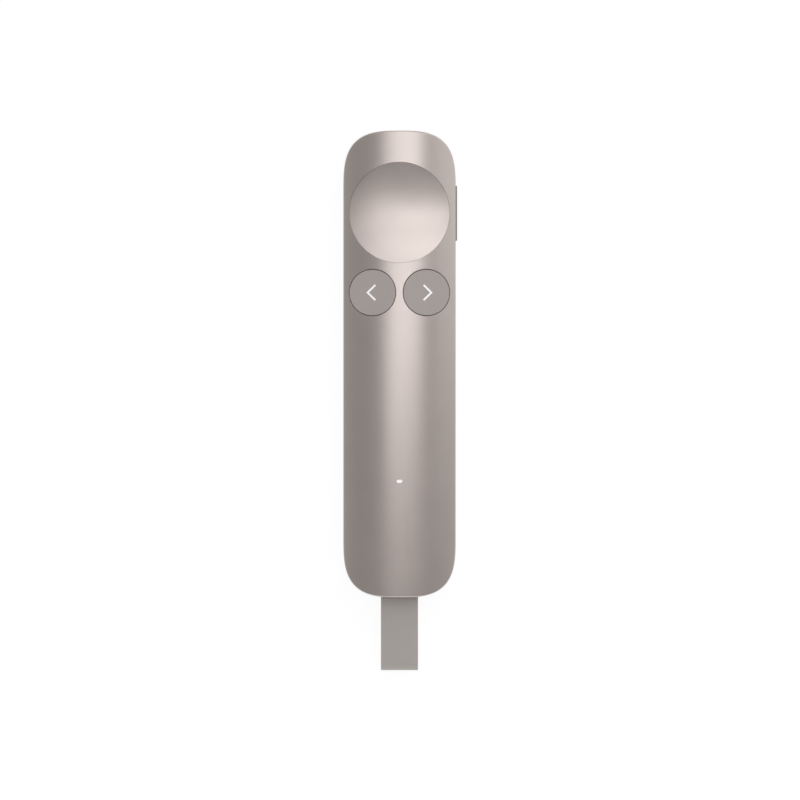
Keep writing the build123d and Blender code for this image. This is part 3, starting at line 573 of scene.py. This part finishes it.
def round_key(height, centre, radius, edge, face_skin, skirt, base_z, side=1):
    """A round key: face, quarter-round edge, skirt down to base_z and a hollow underside."""
    skin = Skin()
    angle = np.linspace(0, 2 * pi, KEY_POINTS)
    away = stack(np.cos(angle), np.sin(angle), 0)

    def circles(reach, drop=0.0):
        """Points and normals of circles on the face, reach from its centre, lowered by drop."""
        reach, drop = np.reshape(reach, (-1, 1)), np.reshape(drop, (-1, 1))
        x, y = centre[0] + reach * away[:, 0], centre[1] + reach * away[:, 1]
        return stack(x, y, height(x, y) - drop), face_normal(height, x, y)

    skin.add(*circles(np.linspace(0, radius - edge, KEY_RINGS)), side)
    lean = np.linspace(0, pi / 2, KEY_EDGE_RINGS)[:, None, None]
    edge_points, normals = circles(radius - edge * (1 - np.sin(lean)), edge * (1 - np.cos(lean)))
    skin.add(edge_points, unit(normals * np.cos(lean) + away * np.sin(lean)), side)
    foot, inner_foot = edge_points[-1].copy(), circles(radius - skirt)[0][0]
    foot[:, 2] = inner_foot[:, 2] = base_z
    skin.add(blend(edge_points[-1], foot, shares(KEY_SKIRT_RINGS)), away, side)
    skin.add(np.stack([foot, inner_foot]), (0, 0, -1), side)
    under, under_normals = circles(np.linspace(radius - skirt, 0, KEY_UNDER_RINGS), face_skin)
    skin.add(np.stack([inner_foot, under[0]]), -away, side)
    skin.add(under, -under_normals, side)
    return skin


def chevron(side):
    """The arrow mark on a round key: a flat stroke with a mitred point, square ends and soft edges.

    The section's points are carried along the two legs, and across by the mitre at the point.
    """
    skin = Skin()
    tip, back = KEY_X + CHEVRON_TIP, KEY_X - CHEVRON_BACK
    path = np.array([(back, KEY_Y - CHEVRON_RISE), (tip, KEY_Y), (back, KEY_Y + CHEVRON_RISE)])
    legs = unit(np.diff(path, axis=0))
    across = np.array([(legs[0, 1], -legs[0, 0]), (1 / legs[0, 1], 0.0), (legs[1, 1], -legs[1, 0])])
    half, soft, root = CHEVRON_STROKE / 2, CHEVRON_RELIEF, CHEVRON_ROOT
    offset = np.array([-half, -half, soft - half, half - soft, half, half, -half])
    lift = np.array([-root, 0.0, soft, soft, 0.0, -root, -root])
    x = path[:, :1] + across[:, :1] * offset
    y = path[:, 1:] + across[:, 1:] * offset
    points = stack(x, y, key_z(x, y) + lift)
    up = face_normal(key_z, x, y)
    outward = stack(across[:, :1] * np.sign(offset), across[:, 1:] * np.sign(offset), 0)
    for k, normal in enumerate((outward, unit(up + outward), up, unit(up + outward), outward, -up)):
        skin.add(points[:, k : k + 2], normal[:, k : k + 2], side)
    for section, direction in ((points[0], -legs[0]), (points[2], legs[1])):
        middle = np.broadcast_to(section[:-1].mean(0), section.shape)
        skin.add(np.stack([section, middle]), (*direction, 0), side)
    return skin


# ---------------------------------------- forms made of rounded-rectangle rings
def ring_outline(half_width, half_height, corner):
    """Points and normals round a rounded rectangle: four quarter arcs, joined by straight sides."""
    points, normals = [], []
    quarter, straight = np.linspace(0, pi / 2, CORNER_POINTS), shares(STRAIGHT_POINTS)[1:-1]
    reach = np.array([half_width - corner, half_height - corner])
    centres = reach * [(1, 1), (-1, 1), (-1, -1), (1, -1)]
    for k, centre in enumerate(centres):
        angle = quarter + k * pi / 2
        away = np.stack([np.cos(angle), np.sin(angle)], 1)
        points.append(centre + corner * away)
        normals.append(away)
        next_start = centres[(k + 1) % 4] + corner * away[-1]
        points.append(blend(points[-1][-1], next_start, straight))
        normals.append(np.broadcast_to(away[-1], points[-1].shape))
    points, normals = np.concatenate(points), np.concatenate(normals)
    return np.concatenate([points, points[:1]]), np.concatenate([normals, normals[:1]])


AXES = {"x": (2, 0, 1), "y": (0, 2, 1), "z": (0, 1, 2)}  # where each ring's across, up and along go


def rings_at(outline, at, *leans, inset=0.0, scale=1.0):
    """Rings in one place, one for each lean of the normal: 0 is outward, 90 is along the axis."""
    return [(outline, at, radians(lean), inset, 0.0, scale) for lean in leans]


def edge_rings(outline, at, radius, start, stop):
    """Rings of a rounded edge: the sharp edge's outline and place, and the leans at its sides."""
    s, t = radians(start), radians(stop)
    rings = []
    for lean in np.linspace(s, t, EDGE_ROWS):
        inset = radius * (cos(s) + cos(t) - cos(lean))
        shift = -radius * (sin(s) + sin(t) - sin(lean))
        rings.append((outline, at, lean, inset, shift, 1.0))
    return rings


def ringed(axis, centre, rings):
    """A closed form from rings along an axis.  A place may be a function of across and up."""
    points, normals = [], []
    for outline, at, lean, inset, shift, scale in rings:
        flat, away = ring_outline(*outline)
        across, up = ((flat - inset * away) * scale).T
        along = (at(across, up) if callable(at) else at) + shift
        points.append(stack(across, up, along)[:, AXES[axis]] + centre)
        outward = away * cos(lean)
        normals.append(stack(*outward.T, sin(lean))[:, AXES[axis]])
    skin = Skin()
    skin.add(np.stack(points), np.stack(normals))
    return skin


def footed_bar(axis, centre, foot, bar, places, edge):
    """A bar with a rounded end on a wider foot; places are the foot's two ends and the bar's."""
    start, step, end = places
    rings = rings_at(foot, start, -90, scale=0) + rings_at(foot, start, -90, 0)
    rings += rings_at(foot, step, 0, 90) + rings_at(bar, step, 90, 0)
    rings += edge_rings(bar, end, edge, 0, 90) + rings_at(bar, end, 90, inset=edge, scale=0)
    return ringed(axis, centre, rings)


def side_bar():
    """The side key: a round-ended bar with a soft outer edge, on a wider flange behind the wall."""
    half_length, half_height = SIDE_BOX.half[1:]
    flange, bar = (half_length, half_height, half_height), (*SIDE_BAR, SIDE_BAR[1])
    places = (SIDE_BOX.low[0], SIDE_BOX.low[0] + SIDE_FLANGE, SIDE_BOX.high[0])
    return footed_bar("x", (0, SIDE_Y, SIDE_Z), flange, bar, places, SIDE_EDGE)


def light_tip():
    """The status light's clear tip: a small round-ended post, level with the crown."""
    collar, tip = (LIGHT_COLLAR,) * 3, (*LIGHT_TIP, LIGHT_TIP[1])
    places = (LIGHT_BOX.low[2], LIGHT_COLLAR_Z, LIGHT_BOX.high[2] - LIGHT_SINK)
    return footed_bar("z", (0, LIGHT_Y, 0), collar, tip, places, LIGHT_TIP_EDGE)


def tail_y(x, up):
    """The tail's surface in the dock's opening: the outline, drawn in where the edges round off."""
    y = -FLANK - END_DEPTH * (1 - np.abs(x / HALF_WIDTH) ** END_POWER) ** (1 / END_POWER)
    z = up + TAIL_Z
    over, under = np.clip(z - ball_z(x), 0, TOP_EDGE), np.clip(BOTTOM_EDGE - z, 0, BOTTOM_EDGE)
    upper_step = TOP_EDGE - np.sqrt(TOP_EDGE**2 - over**2)
    lower_step = BOTTOM_EDGE - np.sqrt(BOTTOM_EDGE**2 - under**2)
    return y + upper_step + lower_step


def tail_sleeve():
    """The cup that lines the tail opening: a lip that stands out, walls and a slotted floor."""
    back_y = SLEEVE_BOX.high[1]
    floor_y = back_y - SLEEVE_FLOOR_SKIN

    def lip(x, up):
        return tail_y(x, up) - SLEEVE_PROUD

    rings = rings_at(SOCKET_SLOT, floor_y, -90) + rings_at(MOUTH, floor_y, -90, 180)
    rings += edge_rings(MOUTH, lip, SLEEVE_EDGE, -180, -90)
    rings += edge_rings(DOCK, lip, SLEEVE_EDGE, -90, 0)
    rings += rings_at(DOCK, floor_y, 0, 90) + rings_at(SLEEVE_FLOOR, floor_y, 90, 0)
    rings += rings_at(SLEEVE_FLOOR, back_y, 0, 90) + rings_at(SOCKET_SLOT, back_y, 90, 180)
    rings += rings_at(SOCKET_SLOT, floor_y, 180, -90)
    return ringed("y", (0, 0, TAIL_Z), rings)


def receiver_body():
    """The receiver's moulded body: board space in front, strap slot behind, softened edges."""
    front_y, room_y = CAP_BOX.high[1], SLOT_END_Y + CAP_WALL

    def rear(x, up):
        return tail_y(x, up) + CAP_RECESS

    rings = rings_at(CAP_ROOM, room_y, 90, scale=0) + rings_at(CAP_ROOM, room_y, 90, 180)
    rings += rings_at(CAP_ROOM, front_y, 180, 90)
    rings += edge_rings(CAP, front_y, CAP_EDGE, 90, 0) + edge_rings(CAP, rear, CAP_EDGE, 0, -90)
    rings += edge_rings(SLOT, rear, SLOT_EDGE, -90, -180)
    rings += rings_at(SLOT, SLOT_END_Y, 180, -90) + rings_at(SLOT, SLOT_END_Y, -90, scale=0)
    return ringed("y", (0, 0, TAIL_Z), rings)


def pull_band():
    """The pull strap: a flat band with soft edges round a loop of two arcs and two straights.

    The path's normal turns once round.  Where it leans to the nose the path is on the arc round
    the pin, and elsewhere on the arc of the free fold; the straights join the two arcs at the
    leans where they are tangent.
    """
    half = STRAP_THICKNESS / 2
    fold_y = STRAP_BOX.low[1] + STRAP_FOLD
    pin_radius, fold_radius = PIN_RADIUS + half, STRAP_FOLD - half
    tangent = np.arccos((fold_radius - pin_radius) / (PIN_Y - fold_y))
    pin_lean = np.linspace(-tangent, tangent, PIN_ROWS)
    fold_lean = np.linspace(tangent, 2 * pi - tangent, FOLD_ROWS)
    root = np.stack([PIN_Y + pin_radius * np.cos(pin_lean), pin_radius * np.sin(pin_lean)], 1)
    fold = np.stack([fold_y + fold_radius * np.cos(fold_lean), fold_radius * np.sin(fold_lean)], 1)
    steps = shares(BAND_ROWS)[1:-1]
    over, under = blend(root[-1], fold[0], steps), blend(fold[-1], root[0], steps)
    path = np.concatenate([root, over, fold, under, root[:1]])
    over_lean, under_lean = np.full(len(steps), tangent), np.full(len(steps), -tangent)
    lean = np.concatenate([pin_lean, over_lean, fold_lean, under_lean, pin_lean[:1]])
    normal = np.stack([np.cos(lean), np.sin(lean)], 1)
    flat, away = ring_outline(STRAP_HALF_WIDTH, half, STRAP_CORNER)
    y = path[:, :1] + normal[:, :1] * flat[:, 1]
    z = TAIL_Z + path[:, 1:] + normal[:, 1:] * flat[:, 1]
    normals = stack(away[:, 0], normal[:, :1] * away[:, 1], normal[:, 1:] * away[:, 1])
    skin = Skin()
    skin.add(stack(flat[:, 0], y, z), normals)
    return skin


# ---------------------------------------- shader maths
class Value:
    """A number in a material's nodes.  A sum or product adds the Math node that works it out."""

    def __init__(self, finish, socket):
        self.finish, self.socket = finish, socket

    def __add__(self, other):
        return self.finish.math("ADD", self, other)

    def __sub__(self, other):
        return self.finish.math("SUBTRACT", self, other)

    def __rsub__(self, other):
        return self.finish.math("SUBTRACT", other, self)

    def __mul__(self, other):
        return self.finish.math("MULTIPLY", self, other)

    __radd__ = __add__


class Finish:
    """The nodes of a material or the world, and the one method that adds any node to them."""

    def __init__(self, holder):
        holder.use_nodes = True
        self.holder, self.tree = holder, holder.node_tree
        self.tree.nodes.clear()

    def node(self, kind, settings=None, inputs=None):
        """Adds a node with its settings, and each socket's value or link by its identifier."""
        node = self.tree.nodes.new(kind)
        for name, value in (settings or {}).items():
            setattr(node, name, value)
        sockets = {socket.identifier: socket for socket in node.inputs}
        for name, value in (inputs or {}).items():
            if isinstance(value, Value):
                self.tree.links.new(value.socket, sockets[name])
            else:
                sockets[name].default_value = value
        return node

    def out(self, node, name):
        """One of a node's outputs, as a value to work with."""
        sockets = {socket.identifier: socket for socket in node.outputs}
        return Value(self, sockets[name])

    def math(self, operation, first, second):
        """A Math node on values and plain numbers."""
        inputs = {"Value": first, "Value_001": second}
        return self.out(self.node("ShaderNodeMath", {"operation": operation}, inputs), "Value")

    def ramp(self, value, span):
        """A share that goes from 0 to 1 as the value goes from 0 to span."""
        return self.math("MINIMUM", self.math("MAXIMUM", value * (1 / span), 0.0), 1.0)

    def noise(self, size):
        """Noise from 0 to 1 on the piece's own coordinates, with features about size mm wide."""
        place = self.out(self.node("ShaderNodeTexCoord"), "Object")
        inputs = {"Vector": place, "Scale": 1 / (size * MM), "Detail": 3.0}
        return self.out(self.node("ShaderNodeTexNoise", None, inputs), "Fac")

    def mix(self, share, first, second):
        """A colour between two, by a share."""
        inputs = {"Factor_Float": share, "A_Color": first, "B_Color": second}
        return self.out(self.node("ShaderNodeMix", {"data_type": "RGBA"}, inputs), "Result_Color")

    def bump(self, height, distance):
        """A normal roughened by a height, over a distance in millimetres."""
        inputs = {"Height": height, "Distance": distance * MM, "Strength": 1.0}
        return self.out(self.node("ShaderNodeBump", None, inputs), "Normal")

    def surface(self, shader):
        """Sends a shader to the output."""
        ends = "World" if isinstance(self.holder, bpy.types.World) else "Material"
        self.node("ShaderNodeOutput" + ends, None, {"Surface": shader})
        return self.holder


def shade(colour, factor):
    """A colour made lighter or darker, with its alpha."""
    return (*(channel * factor for channel in colour), 1.0)


CLOUD_GRAINS = 60  # how many grains across a cloud is
CLOUD_SHARE = 0.6  # how much of the wandering is cloud, where the rest is grain
GLOSS_SWAY = 0.06  # how far the roughness wanders


def surface_finish(name, colour, roughness, metallic, grain, relief, mottle=0.04, **constants):
    """A finish with a fine grain in relief, and a faint cloudiness in colour and gloss.

    grain is the size of the grain and relief its depth, in millimetres; mottle is how far the
    colour wanders.
    """
    finish = Finish(bpy.data.materials.new(name))
    fine, cloud = finish.noise(grain), finish.noise(grain * CLOUD_GRAINS)
    speck = cloud * CLOUD_SHARE + fine * (1 - CLOUD_SHARE)
    inputs = {
        "Base Color": finish.mix(speck, shade(colour, 1 - mottle), shade(colour, 1 + mottle)),
        "Roughness": roughness + (speck - 0.5) * GLOSS_SWAY,
        "Metallic": metallic,
        "Normal": finish.bump(fine, relief),
        **constants,
    }
    return finish.surface(finish.out(finish.node("ShaderNodeBsdfPrincipled", None, inputs), "BSDF"))


SAND = (0.46, 0.405, 0.377)
FINISHES = {  # colour, roughness, metallic, grain and relief of each record slot
    "shell_metal": (SAND, 0.31, 1.0, 0.09, 0.004),
    "dish_metal": (SAND, 0.31, 1.0, 0.09, 0.004),
    "key_plastic": ((0.358, 0.316, 0.297), 0.62, 0.0, 0.12, 0.006),
    "side_key_plastic": ((0.22, 0.21, 0.20), 0.55, 0.0, 0.12, 0.006),
    "sleeve_metal": ((0.74, 0.68, 0.63), 0.22, 1.0, 0.06, 0.001),
    "receiver_plastic": ((0.20, 0.185, 0.175), 0.55, 0.0, 0.14, 0.008),
    "strap_rubber": ((0.368, 0.334, 0.308), 0.40, 0.0, 0.10, 0.008),
    "plug_steel": ((0.62, 0.61, 0.60), 0.24, 1.0, 0.15, 0.001),
    "contact_carrier": ((0.02, 0.02, 0.022), 0.45, 0.0, 0.10, 0.004),
    "pin_steel": ((0.58, 0.57, 0.56), 0.28, 1.0, 0.08, 0.001),
    "chassis_plastic": ((0.035, 0.035, 0.037), 0.50, 0.0, 0.20, 0.010),
    "screw_steel": ((0.30, 0.30, 0.31), 0.32, 1.0, 0.10, 0.001),
    "board_laminate": ((0.012, 0.075, 0.035), 0.38, 0.0, 0.30, 0.004),
    "shield_steel": ((0.64, 0.64, 0.63), 0.30, 1.0, 0.25, 0.002),
    "chip_epoxy": ((0.018, 0.018, 0.019), 0.48, 0.0, 0.06, 0.004),
    "antenna_ceramic": ((0.74, 0.73, 0.69), 0.42, 0.0, 0.05, 0.002),
    "led_package": ((0.78, 0.77, 0.72), 0.35, 0.0, 0.05, 0.001),
    "light_clear": ((0.93, 0.89, 0.86), 0.30, 0.0, 0.20, 0.001),
    "cell_foil": ((0.60, 0.61, 0.63), 0.34, 1.0, 1.20, 0.020),
    "foam_pad": ((0.03, 0.03, 0.03), 0.85, 0.0, 0.25, 0.060),
    "nickel_strip": ((0.60, 0.57, 0.52), 0.30, 1.0, 0.30, 0.002),
    "switch_case": ((0.03, 0.03, 0.032), 0.46, 0.0, 0.10, 0.003),
    "plunger_plastic": ((0.60, 0.57, 0.52), 0.42, 0.0, 0.10, 0.002),
}
EXTRAS = {
    "light_clear": {"Emission Color": (1.0, 0.96, 0.92, 1.0), "Emission Strength": 0.1},
    "strap_rubber": {"Sheen Weight": 0.6, "Sheen Roughness": 0.4},
}
finishes = {}
for slot_name, values in FINISHES.items():
    finishes[slot_name] = surface_finish(slot_name, *values, **EXTRAS.get(slot_name, {}))
mark_white = surface_finish("mark_white", (0.97, 0.955, 0.945), 0.5, 0.0, 0.05, 0.001, mottle=0.01)

for part in frame["record"]["subparts"]:
    materials = frame["nodes"][part["node"]].data.materials
    materials.clear()
    materials.append(finishes[part["material_slot"]])


# ---------------------------------------- the object's pieces
def dress(name, skin, body, slot, *nodes):
    """A piece in the finish of its own record slot."""
    piece(name, skin, body, slot, finishes[slot], *nodes)


dress("upper_casing", upper_casing(), "body", "shell_metal", "top_shell")
dress("lower_casing", lower_casing(), "body", "shell_metal", "bottom_shell")
dish_sizes = (POINTER_RADIUS, POINTER_EDGE, POINTER_SKIN, POINTER_SKIRT, POINTER_BASE_Z)
dish = round_key(dish_z, (0, POINTER_Y), *dish_sizes)
dress("pointer_dish", dish, "pointer_key", "dish_metal", "pointer_button")
key_sizes = (KEY_RADIUS, KEY_EDGE, KEY_SKIN, KEY_SKIRT, KEY_BASE_Z)
for side, word in ((-1, "back"), (1, "next")):
    cap = round_key(key_z, (KEY_X, KEY_Y), *key_sizes, side)
    dress(word + "_cap", cap, word + "_key", "key_plastic", word + "_button")
    piece(word + "_chevron", chevron(side), word + "_key", "key_plastic", mark_white)
dress("side_bar", side_bar(), "flank_key", "side_key_plastic", "side_key")
dress("light_tip", light_tip(), "body", "light_clear", "light_guide")
dress("tail_sleeve", tail_sleeve(), "body", "sleeve_metal", "dock_sleeve")
dress("receiver_body", receiver_body(), "receiver", "receiver_plastic", "receiver_cap")
dress("pull_band", pull_band(), "receiver", "strap_rubber", "pull_strap")


# ---------------------------------------- floor, lamps and camera, in metres
FLOOR_HALF = 3.0
FLOOR_Z = -0.01 * MM  # a hair under the casing
FLOOR_GLOW = 1.04
FLOOR_GLOW_SHARE = 0.88  # the rest is card, which shows the shadow
CARD, WHITE = (0.9, 0.9, 0.9, 1.0), (1.0, 1.0, 1.0, 1.0)
LAMP_COLOUR = (1.0, 1.01, 1.04)
SKY, HORIZON = 0.49, 1.15  # the studio's brightness overhead and low down
HORIZON_TOP, HORIZON_FADE = 0.62, 0.25  # z of a direction where it brightens, over how much
TAIL_SKY_START, TAIL_SKY_FADE = -0.20, 0.12  # y of a direction where the sky dims, over how much
TAIL_SKY_LOSS = 0.32
FIELD = 0.2001  # what the picture takes in across, at the height of the casing's upper edge
FIELD_Z = 0.0085
VIEW_CENTRE = (0.00013, -0.00897)
LENS, SENSOR = 120.0, 36.0  # millimetres


def floor_finish():
    """Near-white card that shows white to the camera and in reflections, with a faint shadow."""
    finish = Finish(bpy.data.materials.new("floor_card"))
    rays = finish.node("ShaderNodeLightPath")
    names = ("Is Camera Ray", "Is Glossy Ray", "Is Transmission Ray")
    camera, glossy, through = (finish.out(rays, name) for name in names)
    seen = finish.math("MINIMUM", camera + glossy + through, 1.0)
    card = finish.node("ShaderNodeBsdfDiffuse", None, {"Color": CARD})
    glow = finish.node("ShaderNodeEmission", None, {"Color": WHITE, "Strength": FLOOR_GLOW})
    inputs = {
        "Fac": seen * FLOOR_GLOW_SHARE,
        "Shader": finish.out(card, "BSDF"),
        "Shader_001": finish.out(glow, "Emission"),
    }
    return finish.surface(finish.out(finish.node("ShaderNodeMixShader", None, inputs), "Shader"))


def softbox(name, place, target, size, radiance, turn=0):
    """A rectangular lamp of even radiance, aimed at a point and turned by some degrees."""
    data = bpy.data.lights.new(name, "AREA")
    data.shape, data.size, data.size_y = "RECTANGLE", *size
    data.energy, data.color = radiance * pi * size[0] * size[1], LAMP_COLOUR
    lamp = add_object(name, data)
    lamp.location = place
    towards = Vector(target) - Vector(place)
    lamp.rotation_euler = towards.to_track_quat("-Z", "Y").to_euler()
    lamp.rotation_euler.z += radians(turn)
    lamp.visible_camera = False


def overhead(name, x, y, z, size, radiance, turn=0):
    """A softbox that looks straight down."""
    softbox(name, (x, y, z), (x, y, 0.0), size, radiance, turn)


def light_studio():
    """A white world, dim overhead, brighter low down and dimmest high up over the tail."""
    world = bpy.data.worlds.new("studio")
    bpy.context.scene.world = world
    studio = Finish(world)
    direction = studio.out(studio.node("ShaderNodeTexCoord"), "Generated")
    parts = studio.node("ShaderNodeSeparateXYZ", None, {"Vector": direction})
    back, up = studio.out(parts, "Y"), studio.out(parts, "Z")
    low = studio.ramp(HORIZON_TOP - up, HORIZON_FADE)
    tailward = studio.ramp(TAIL_SKY_START - back, TAIL_SKY_FADE)
    brightness = SKY + low * (HORIZON - SKY) - tailward * (1 - low) * TAIL_SKY_LOSS
    inputs = {"Color": WHITE, "Strength": brightness}
    backdrop = studio.node("ShaderNodeBackground", None, inputs)
    studio.surface(studio.out(backdrop, "Background"))


floor_data = bpy.data.meshes.new("floor")
corner_signs = ((-1, -1), (1, -1), (1, 1), (-1, 1))
floor_corners = [(x * FLOOR_HALF, y * FLOOR_HALF, FLOOR_Z) for x, y in corner_signs]
floor_data.from_pydata(floor_corners, [], [(0, 1, 2, 3)])
floor = add_object("floor", floor_data)
floor.data.materials.append(floor_finish())

# The near lamp hangs a millimetre lower: lamps that overlap in one plane would count only once.
overhead("overhead_near", 0.049, 0.0352, 0.599, (0.35, 0.0666), 2.93, 9)
overhead("overhead_middle", 0.042, 0.131, 0.6, (0.39, 0.13), 1.25)
overhead("overhead_far", 0.064, 0.447, 0.6, (0.31, 0.50), 1.75)
softbox("right_fill", (0.60, 0.34, 0.48), (0.0, 0.11, 0.0), (0.66, 0.66), 0.70)
softbox("tail_light", (0.0, -0.80, 0.66), (0.0, -0.06, 0.0), (0.7, 0.4), 1.95)
light_studio()

camera_data = bpy.data.cameras.new("camera")
camera_data.lens, camera_data.sensor_width = LENS, SENSOR
camera = add_object("camera", camera_data)
camera.location = (*VIEW_CENTRE, FIELD_Z + FIELD * LENS / SENSOR)
bpy.context.scene.camera = camera

bpy.context.scene.view_settings.view_transform = "Standard"
